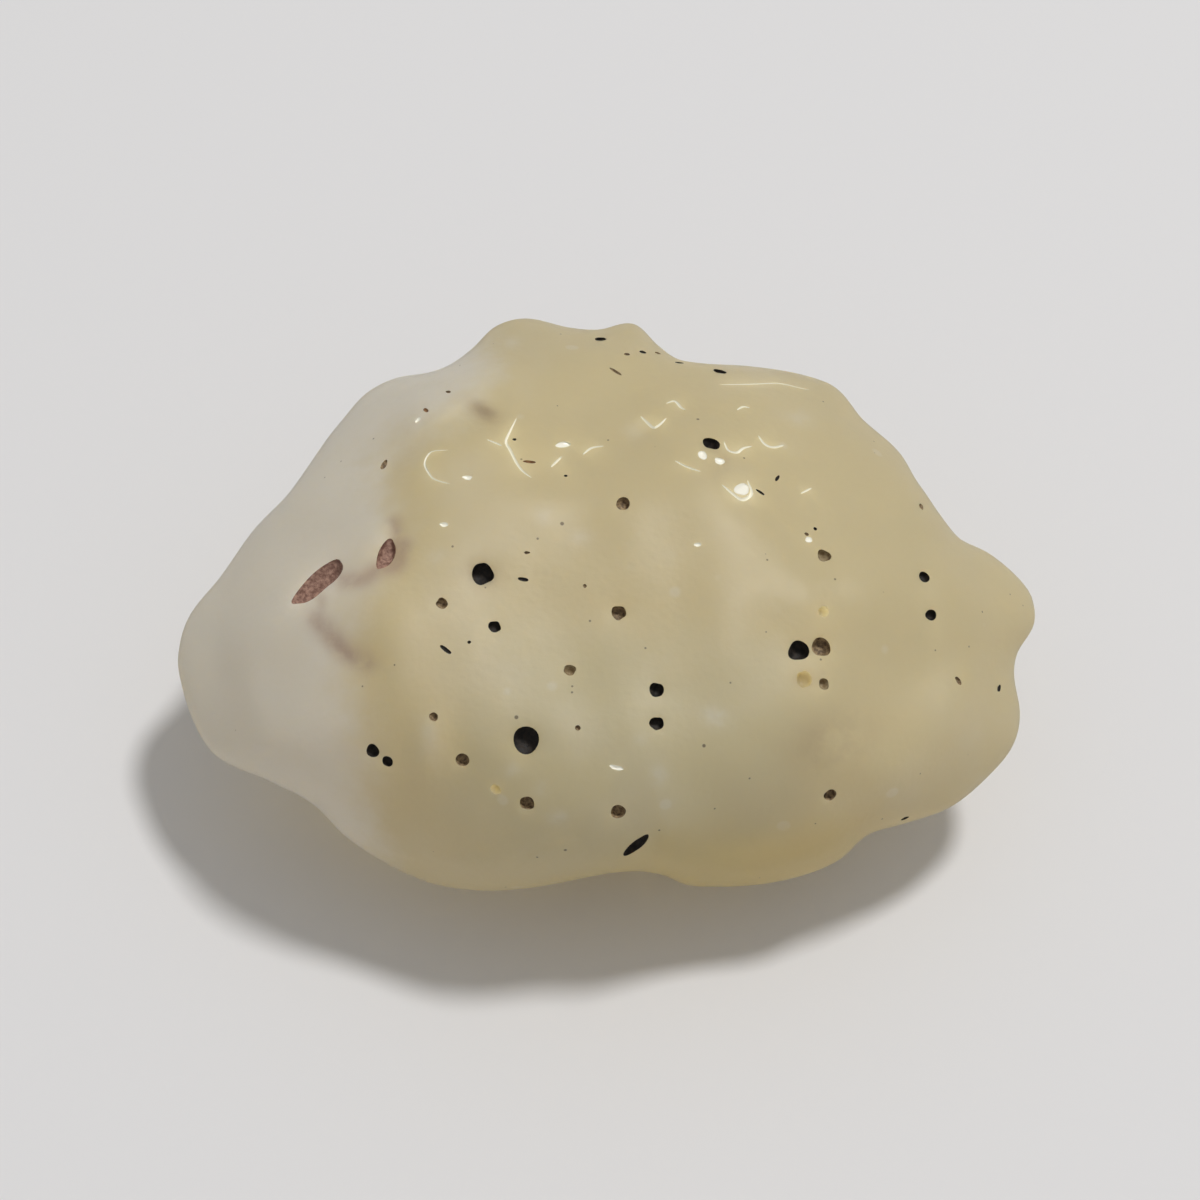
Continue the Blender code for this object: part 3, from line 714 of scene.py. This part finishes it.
@lru_cache(maxsize=None)
def lump_move():
    """How far the standing lump moves to fill the solid's box: by its middle sideways, by its top upwards."""
    directions, _ = ball_grid(MEASURE_GRID)
    points = to_world(*surface_point(*on_ball(directions)))
    low, high = points.min(axis=0), points.max(axis=0)
    move = (NODE_LOW + NODE_HIGH - low - high) / 2
    move[2] = NODE_HIGH[2] - high[2]
    return move


def worn_point(x, v, side):
    """Points in metres of the placed surface with its worn lips."""
    held = 1 - np.minimum(share_of_outline(x, v), 1) ** RIM_HOLD
    depth = surface_depth(x, v, side) - side * held * worn_lips(x, v, side)
    return to_world(*tucked(x, v, depth)) + lump_move()


def unit(ways):
    """Directions shortened to a length of 1."""
    return ways / np.linalg.norm(ways, axis=-1, keepdims=True)


def seats(x, v, side, turn):
    """(origin, along, aside, out) of frames on the surface: along is at that turn, out leaves the glass."""
    c, s = np.cos(np.radians(turn)) * SLOPE_STEP, np.sin(np.radians(turn)) * SLOPE_STEP
    along = unit(worn_point(x + c, v + s, side) - worn_point(x - c, v - s, side))
    across = worn_point(x - s, v + c, side) - worn_point(x + s, v - c, side)
    out = unit(np.cross(along, across)) * side[:, None]
    return worn_point(x, v, side), along, np.cross(out, along), out


def bumpy(directions, count, roughness):
    """For each of that many balls, a factor over the directions that a few seeded sine waves make uneven."""
    dice = np.random.RandomState(WALL_SEED)
    ways = dice.normal(size=(count, WALL_WAVES, 3)) * WALL_FREQUENCY
    phases = dice.uniform(0, 2 * math.pi, size=(count, WALL_WAVES, 1))
    total = np.sin(np.einsum("cwk,dk->cwd", ways, directions) + phases).mean(axis=1)
    return 1 + roughness * total[:, :, None]


def hollow_balls(sizes, seat, sunk, roughness):
    """(points, quads) of balls stretched to those half sizes on their seats, sunk, with uneven walls."""
    directions, quads = ball_grid(HOLLOW_GRID)
    origin, along, aside, out = seat
    spread = directions[None] * sizes[:, None, :] * bumpy(directions, len(sizes), roughness)
    local = spread - [0, 0, 1] * sunk[:, None, None]
    axes = np.stack([along, aside, out], axis=1)
    points = origin[:, None, :] + UNIT * np.einsum("cdk,ckx->cdx", local, axes)
    starts = np.arange(len(sizes))[:, None, None] * len(directions)
    return points.reshape(-1, 3), (quads[None] + starts).reshape(-1, 4)


def smooth_path(points, count):
    """The path through those points as a smooth curve, at that many even steps of its parameter.

    It is the curve of Catmull and Rom: between two points, the cubic whose slope at each is half the way
    from the point before to the point after.
    """
    p = np.array(points, dtype=float)
    p = np.vstack([2 * p[0] - p[1], p, 2 * p[-1] - p[-2]])
    at = np.linspace(0, len(p) - 3, count)
    i = np.minimum(at.astype(int), len(p) - 4)
    t = (at - i)[:, None]
    a, b, c, d = p[i], p[i + 1], p[i + 2], p[i + 3]
    return 0.5 * (2 * b + (c - a) * t + (2 * a - 5 * b + 4 * c - d) * t**2 + (3 * b - 3 * c + d - a) * t**3)


def groove(points, side, half_width, depth):
    """(points, faces) of a closed tube along a line of the surface.

    Its section is an oval, half_width wide each way and depth deep, and it narrows to its ends as a
    circle does.
    """
    path = smooth_path(points, GROOVE_STEPS)
    ahead = np.gradient(path, axis=0)
    turn = np.degrees(np.arctan2(ahead[:, 1], ahead[:, 0]))
    sides = np.full(len(path), side)
    origin, along, aside, out = seats(path[:, 0], path[:, 1], sides, turn)
    share = np.linspace(-1, 1, GROOVE_STEPS)
    size = np.sqrt(np.maximum(1 - share**2, GROOVE_TIP))[:, None, None]
    angle = np.linspace(0, 2 * math.pi, GROOVE_SIDES, endpoint=False)[None, :, None]
    wide = half_width * np.cos(angle) * aside[:, None, :]
    deep = depth * np.sin(angle) * out[:, None, :]
    rings = origin[:, None, :] + UNIT * size * (wide + deep)
    step = np.arange(GROOVE_STEPS - 1)[:, None] * GROOVE_SIDES
    here = np.arange(GROOVE_SIDES)
    after = np.roll(here, -1)
    beyond = step + GROOVE_SIDES
    quads = np.stack([step + here, step + after, beyond + after, beyond + here], axis=-1)
    last = (GROOVE_STEPS - 1) * GROOVE_SIDES
    caps = [here[::-1].tolist(), (last + here).tolist()]
    return rings.reshape(-1, 3), quads.reshape(-1, 4).tolist() + caps


def seen_place(points):
    """(across, up) at which the eye sees each point against the broad plane, and its share in the front."""
    x, v, w = to_plane(points)
    nearer = 1 - w / EYE
    front = 1 / (1 + np.exp(-(w - rim_depth(x, v)) / FRONT_SOFTNESS))
    return x / nearer, v / nearer, front


def strongest(a, b, marks):
    """The strongest of the soft oval marks at each place."""
    return np.max([mark[-1] * scoop(a, b, *mark[:-1]) for mark in marks], axis=0)


def markings(points):
    """The strengths of the milky paleness (partly painted light), the deeper yellow of the foot (partly
    painted shade), brown patches (one of them painted shade) and pink stain at each point of the surface.
    """
    a, b, front = seen_place(points)
    _, left = along_path(a, b, MILK_AND_LIGHT_EDGE)
    _, below = along_path(a, b, HONEY_AND_SHADE_EDGE)
    stain = [
        strength * np.exp(-((along_path(a, b, smooth_path(line, STAIN_STEPS))[0] / half_width) ** 2))
        for half_width, strength, line in STAIN_LINES
    ]
    return {
        "milk": front / (1 + np.exp(-left / MILK_AND_LIGHT_SOFTNESS)),
        "cloud": front * strongest(a, b, CLOUDS),
        "honey": front / (1 + np.exp(-below / HONEY_AND_SHADE_SOFTNESS)),
        "patch": front * strongest(a, b, PATCHES_AND_SHADE),
        "stain": front * np.max(stain, axis=0),
    }


def closed_mesh(name, points, faces, finish_names, face_finish):
    """A mesh of those faces with its normals outwards and a material on each face."""
    mesh = bpy.data.meshes.new(name)
    mesh.from_pydata(points, [], faces)
    for finish in finish_names:
        mesh.materials.append(bpy.data.materials[finish])
    mesh.polygons.foreach_set("material_index", face_finish)
    shape = bmesh.new()
    shape.from_mesh(mesh)
    bmesh.ops.recalc_face_normals(shape, faces=shape.faces[:])
    bmesh.ops.triangulate(shape, faces=shape.faces[:])
    shape.to_mesh(mesh)
    shape.free()
    return mesh


def bubble_ball(x, v, side, radius, lining):
    """The row of a bubble's cutting ball, which is a little wider than the mouth and sunk under it."""
    wide = radius * WIDER
    return x, v, side, 0, wide, wide, wide, SUNK * radius, lining


def pit_cutters():
    """(points, quads, lining of each quad) of all the bubbles, hollows and specks."""
    balls = []
    for (x, v), (_, _, radius, lining) in zip(seen_rows(BUBBLES), BUBBLES):
        balls.append(bubble_ball(x, v, FRONT, radius, lining))
    for (x, v), (_, _, half_long, half_wide, deep, turn, lining) in zip(seen_rows(HOLLOWS), HOLLOWS):
        balls.append((x, v, FRONT, turn, half_long, half_wide, deep, 0, lining))
    for (x, v), (_, _, half_long, half_wide, turn, lining) in zip(seen_rows(SPECKS), SPECKS):
        balls.append((x, v, FRONT, turn, half_long, half_wide, half_wide * SPECK_DEPTH, 0, lining))
    for number, (x, v, radius) in enumerate(back_bubbles()):
        balls.append(bubble_ball(x, v, BACK, radius, BACK_LININGS[number % len(BACK_LININGS)]))
    x, v, side, turn, half_long, half_wide, deep, sunk, lining = (np.array(part) for part in zip(*balls))
    sizes = np.stack([half_long, half_wide, deep], axis=1)
    shape = bpy.context.scene.nodule_shape
    points, quads = hollow_balls(sizes, seats(x, v, side, turn), sunk, shape.wall_roughness)
    return points, quads, np.repeat(lining, len(quads) // len(balls))


def chip_cutters():
    """(points, faces) of all the chips' grooves and scales."""
    points, faces = [], []
    for half_width, depth, line in CHIP_LINES:
        made, these = groove(seen(line), FRONT, half_width, depth)
        start = sum(map(len, points))
        faces += [[start + corner for corner in face] for face in these]
        points.append(made)
    x, v = np.array(seen_rows(CHIP_SCALES)).T
    _, _, half_long, half_wide, depth, turn = np.array(CHIP_SCALES).T
    sizes = np.stack([half_long, half_wide, depth], axis=1)
    seat = seats(x, v, np.full(len(x), FRONT), turn)
    made, quads = hollow_balls(sizes, seat, np.zeros(len(x)), SCALE_ROUGHNESS)
    faces += (quads + sum(map(len, points))).tolist()
    points.append(made)
    return np.concatenate(points), faces


def cut_out(body, cutter_mesh):
    """Takes the cutter's shapes out of the body, leaving their own materials on the new walls."""
    cutter = bpy.data.objects.new("cutter", cutter_mesh)
    bpy.context.scene.collection.objects.link(cutter)
    cut = body.modifiers.new("cut", "BOOLEAN")
    cut.operation = "DIFFERENCE"
    cut.solver = "EXACT"
    cut.material_mode = "TRANSFER"
    cut.object = cutter
    finished = body.evaluated_get(bpy.context.evaluated_depsgraph_get())
    whole = body.data
    body.data = bpy.data.meshes.new_from_object(finished)
    body.modifiers.clear()
    bpy.data.meshes.remove(whole)
    bpy.data.meshes.remove(cutter_mesh)


def settle(height, edge):
    """Heights over the floor, where what is below is pressed flat with its edge rounded over that length."""
    return -softer_minimum(-height, np.zeros_like(height), edge)


def corner_points(mesh):
    """The mesh's vertices as an array."""
    points = np.empty(len(mesh.vertices) * 3)
    mesh.vertices.foreach_get("co", points)
    return points.reshape(-1, 3)


class Value:
    """One output of a shader node, which does sums: each operator adds a Math node."""

    def __init__(self, finish, socket):
        self.finish = finish
        self.socket = socket

    def beside(self, name):
        """Another output of the same node."""
        return Value(self.finish, self.socket.node.outputs[name])

    def __add__(self, other):
        return self.finish.math("ADD", self, other)

    def __sub__(self, other):
        return self.finish.math("SUBTRACT", self, other)

    def __rsub__(self, other):
        return self.finish.math("SUBTRACT", other, self)

    def __mul__(self, other):
        return self.finish.math("MULTIPLY", self, other)

    def __lt__(self, other):
        return self.finish.math("LESS_THAN", self, other)

    __radd__ = __add__
    __rmul__ = __mul__


class Finish:
    """A material that is built node by node."""

    def __init__(self, name):
        self.material = bpy.data.materials.new(name)
        self.material.use_nodes = True
        self.tree = self.material.node_tree
        self.tree.nodes.clear()
        coordinates = self.node("ShaderNodeTexCoord", output="Object")
        self.place = self.node("ShaderNodeMapping", inputs={"Vector": coordinates, "Scale": (1 / UNIT,) * 3})

    def node(self, kind, settings=None, inputs=None, output=None):
        """Adds a node, sets its settings, then sets or links its sockets, and gives one of its outputs."""
        made = self.tree.nodes.new(kind)
        for name, value in (settings or {}).items():
            setattr(made, name, value)
        sockets = {socket.identifier: socket for socket in made.inputs}
        for name, value in (inputs or {}).items():
            if isinstance(value, Value):
                self.tree.links.new(value.socket, sockets[name])
            elif sockets[name].type == "RGBA":
                sockets[name].default_value = (*tuple(value)[:3], 1)
            else:
                sockets[name].default_value = value
        outputs = {socket.identifier: socket for socket in made.outputs}
        return Value(self, outputs[output] if output else next(iter(made.outputs), None))

    def math(self, operation, *terms):
        """A Math node on those numbers or outputs."""
        names = ("Value", "Value_001", "Value_002")
        return self.node("ShaderNodeMath", {"operation": operation}, dict(zip(names, terms)))

    def mix(self, a, b, share):
        """The colour a turning into b by that share."""
        inputs = {"Factor_Float": share, "A_Color": a, "B_Color": b}
        return self.node("ShaderNodeMix", {"data_type": "RGBA"}, inputs, "Result_Color")

    def noise(self, scale, detail=2.0, roughness=0.5):
        """Cloudy noise between 0 and 1, with that many waves to the millimetre."""
        inputs = {"Vector": self.place, "Scale": scale, "Detail": detail, "Roughness": roughness}
        return self.node("ShaderNodeTexNoise", inputs=inputs, output="Fac")

    def cells(self, scale):
        """The distance to the nearest of scattered points, with that many points to the millimetre."""
        inputs = {"Vector": self.place, "Scale": scale}
        return self.node("ShaderNodeTexVoronoi", inputs=inputs, output="Distance")

    def painted(self, name):
        """One of the markings kept on the mesh."""
        return self.node("ShaderNodeAttribute", {"attribute_name": name}, output="Fac")

    def step(self, value, start, end):
        """0 where the value is below start, 1 above end, and smooth between them."""
        inputs = {"Value": value, "From Min": start, "From Max": end}
        return self.node("ShaderNodeMapRange", {"interpolation_type": "SMOOTHSTEP"}, inputs)

    def bump(self, height, strength, distance):
        """A normal bent by that height."""
        inputs = {"Height": height, "Strength": strength, "Distance": distance}
        return self.node("ShaderNodeBump", inputs=inputs)

    def close(self, surface, volume=None):
        """Ends the material in its output."""
        inputs = {"Surface": surface}
        if volume:
            inputs["Volume"] = volume
        self.node("ShaderNodeOutputMaterial", inputs=inputs)
        return self.material


def scattered(finish, scale, radius, share, strength):
    """Round dots of that strength at some of scattered points."""
    distance = finish.cells(scale)
    chosen = finish.node("ShaderNodeSeparateColor", inputs={"Color": distance.beside("Color")}, output="Red")
    return (1 - finish.step(distance, radius * DOT_CORE, radius)) * (chosen < share) * strength


def worn_glass(look):
    """Frosted yellow-green glass, cloudy white in places, with stains and scattered specks and flecks. Its
    paler and its deeper yellow places are partly painted light and painted shade, and one brown patch is
    painted shade.
    """
    finish = Finish(CLEAR)
    drift = finish.noise(DRIFT_SCALE, detail=3.0)
    curdle = finish.noise(CURDLE_SCALE, detail=4.0, roughness=0.6)
    # Partly painted light: the left lobe and the flank above the scarp are paler where they face the key and
    # the glass is thin
    milk = finish.step(finish.painted("milk") + (curdle - 0.5) * MILK_AND_LIGHT_FRAY, *MILK_AND_LIGHT_FADE) * MILK_AND_LIGHT_STRENGTH
    drifts = finish.step(drift, *DRIFT_FADE) * DRIFT_STRENGTH
    clouds = finish.painted("cloud") * finish.step(curdle, *CLOUD_FADE) * CLOUD_STRENGTH
    paleness = finish.math("MAXIMUM", milk, drifts + clouds + scattered(finish, *PALE_FLECKS))
    base = finish.mix(look.glass, look.milk, paleness)
    # Partly painted shade: the foot is darker and deeper yellow, facing down and away from the key
    base = finish.mix(base, look.honey, finish.painted("honey") * HONEY_AND_SHADE_STRENGTH)
    # Brown patches, one of them painted shade in the hollow under the scarp
    base = finish.mix(base, look.patch, finish.painted("patch") * finish.step(curdle, *PATCH_AND_SHADE_FADE))
    base = finish.mix(base, look.stain, finish.painted("stain") * finish.step(curdle, *STAIN_FADE))
    specks = finish.math("MAXIMUM", scattered(finish, *FINE_SPECKS), scattered(finish, *COARSE_SPECKS))
    base = finish.mix(base, look.speck, specks)
    grain = finish.noise(GRAIN_SCALE, detail=3.0, roughness=0.6)
    dimples = finish.noise(DIMPLE_SCALE)
    shader = finish.node("ShaderNodeBsdfPrincipled", {"subsurface_method": "BURLEY"}, {
        "Base Color": base,
        "Roughness": (grain - 0.5) * FROST_UNEVENNESS + look.frost,
        "IOR": GLASS_IOR,
        "Transmission Weight": look.clarity,
        "Subsurface Weight": 1.0,
        "Subsurface Radius": LIGHT_SPREAD,
        "Subsurface Scale": look.waxy_depth,
        "Normal": finish.bump(dimples * DIMPLE_SHARE + grain * (1 - DIMPLE_SHARE), *SKIN_BUMP),
    })
    inputs = {"Color": look.absorption, "Density": look.density}
    return finish.close(shader, finish.node("ShaderNodeVolumeAbsorption", inputs=inputs))


def lining(name, dark, light, roughness):
    """Sediment that lines an open bubble, mottled from its dark to its light colour."""
    finish = Finish(name)
    mottle = finish.step(finish.noise(MOTTLE_SCALE, detail=4.0, roughness=0.65), *MOTTLE_FADE)
    grain = finish.noise(SEDIMENT_GRAIN, detail=3.0)
    shader = finish.node("ShaderNodeBsdfPrincipled", inputs={
        "Base Color": finish.mix(dark, light, mottle),
        "Roughness": mottle * SEDIMENT_UNEVENNESS + (roughness - SEDIMENT_SMOOTHING),
        "Normal": finish.bump(grain, *LINING_BUMP),
    })
    return finish.close(shader)


def chip_highlight_glass(look):
    """A chip's face, painted pale and bright: a painted highlight of the light that its broken edges catch.
    """
    finish = Finish(CHIP_HIGHLIGHT)
    shader = finish.node("ShaderNodeBsdfPrincipled", inputs={
        # Painted highlight: the pale colour stands in for light caught by the chip
        "Base Color": finish.mix(look.chip, look.milk, finish.noise(CHIP_TINT_SCALE)),
        "Roughness": CHIP_ROUGHNESS,
        "IOR": GLASS_IOR,
        "Normal": finish.bump(finish.noise(CHIP_BUMP_SCALE), *CHIP_BUMP),
    })
    return finish.close(shader)


class NODULE_OT_glass(bpy.types.Operator):
    """Build the nodule: its worn glass with open bubbles, hollows, specks and chips"""

    bl_idname = "nodule.glass"
    bl_label = "Glass nodule"

    def execute(self, context):
        shape, look = context.scene.nodule_shape, context.scene.nodule_look
        worn_glass(look)
        chip_highlight_glass(look)
        for name, sediment in LININGS.items():
            lining(name, *sediment)

        directions, quads = ball_grid(shape.grid)
        points = worn_point(*on_ball(directions))
        points[:, 2] = settle(points[:, 2], shape.flat_edge)
        mesh = closed_mesh("desert_glass", points, quads, [CLEAR], np.zeros(len(quads), dtype=int))
        body = bpy.data.objects.new("desert_glass", mesh)
        context.scene.collection.objects.link(body)

        finish_names = [*LININGS, CLEAR]
        points, quads, linings = pit_cutters()
        which = np.array([finish_names.index(name) for name in linings])
        cut_out(body, closed_mesh("pits", points, quads, finish_names, which))
        points, faces = chip_cutters()
        cut_out(body, closed_mesh("chips", points, faces, [CHIP_HIGHLIGHT], np.zeros(len(faces), dtype=int)))

        mesh = body.data
        for name, strength in markings(corner_points(mesh)).items():
            mesh.attributes.new(name, "FLOAT", "POINT").data.foreach_set("value", strength)
        mesh.shade_smooth()
        mesh.set_sharp_from_angle(angle=SHARP_EDGE)
        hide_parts("glass")
        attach(body, "root")
        return {"FINISHED"}


class NODULE_OT_stage(bpy.types.Operator):
    """Set the stage: a plain pale floor, a soft key light, even fill light and the camera"""

    bl_idname = "nodule.stage"
    bl_label = "Stage"

    def execute(self, context):
        stage = context.scene.nodule_stage
        origin = Vector(lump_move())
        lean = math.radians(LEAN)
        towards_eye = Vector((0, -math.cos(lean), math.sin(lean)))
        up = Vector((0, math.sin(lean), math.cos(lean)))

        finish = Finish("paper")
        shader = finish.node("ShaderNodeBsdfPrincipled", inputs={
            "Base Color": stage.floor, "Roughness": PAPER_ROUGHNESS, "Specular IOR Level": PAPER_GLOSS,
        })
        mesh = bpy.data.meshes.new("floor")
        half = stage.floor_size / 2
        corners = [(-half, -half, 0), (half, -half, 0), (half, half, 0), (-half, half, 0)]
        mesh.from_pydata(corners, [], [(0, 1, 2, 3)])
        mesh.materials.append(finish.close(shader))
        floor = bpy.data.objects.new("floor", mesh)
        context.scene.collection.objects.link(floor)

        light = bpy.data.lights.new("key", "AREA")
        light.shape = "DISK"
        light.size = stage.key_size
        light.energy = stage.key_power
        key = bpy.data.objects.new("key", light)
        way = Vector(stage.key_way).normalized()
        key.location = origin + way * stage.key_distance
        key.rotation_euler = way.to_track_quat("Z", "Y").to_euler()
        context.scene.collection.objects.link(key)

        world = bpy.data.worlds.new("studio")
        world.use_nodes = True
        background = world.node_tree.nodes["Background"]
        background.inputs["Color"].default_value = (*stage.fill_colour, 1)
        background.inputs["Strength"].default_value = stage.fill
        context.scene.world = world

        data = bpy.data.cameras.new("camera")
        data.lens = stage.lens
        data.clip_start = NEAR_CLIP
        camera = bpy.data.objects.new("camera", data)
        camera.location = origin + towards_eye * EYE * UNIT
        aim = origin + (Vector((1, 0, 0)) * AIM[0] + up * AIM[1]) * UNIT
        camera.rotation_euler = (camera.location - aim).to_track_quat("Z", "Y").to_euler()
        context.scene.collection.objects.link(camera)
        context.scene.camera = camera
        context.scene.view_settings.view_transform = "Standard"
        return {"FINISHED"}


class NODULE_PT_panel(bpy.types.Panel):
    """Lists the nodule's settings and its operators"""

    bl_idname = "NODULE_PT_panel"
    bl_label = "Nodule"
    bl_space_type = "VIEW_3D"
    bl_region_type = "UI"
    bl_category = "Nodule"

    def draw(self, context):
        scene = context.scene
        for settings in (scene.nodule_shape, scene.nodule_look, scene.nodule_stage):
            box = self.layout.box()
            for name in settings.__annotations__:
                box.prop(settings, name)
        for operator in OPERATORS:
            self.layout.operator(operator.bl_idname)


OPERATORS = (NODULE_OT_glass, NODULE_OT_stage)
SETTINGS = {"nodule_shape": NoduleShape, "nodule_look": NoduleLook, "nodule_stage": NoduleStage}


def register():
    for kind in (*SETTINGS.values(), *OPERATORS, NODULE_PT_panel):
        bpy.utils.register_class(kind)
    for name, kind in SETTINGS.items():
        setattr(bpy.types.Scene, name, PointerProperty(type=kind))


def unregister():
    for name in SETTINGS:
        delattr(bpy.types.Scene, name)
    for kind in (NODULE_PT_panel, *OPERATORS, *SETTINGS.values()):
        bpy.utils.unregister_class(kind)


def main():
    register()
    bpy.ops.nodule.glass()
    bpy.ops.nodule.stage()


if __name__ == "__main__":
    main()
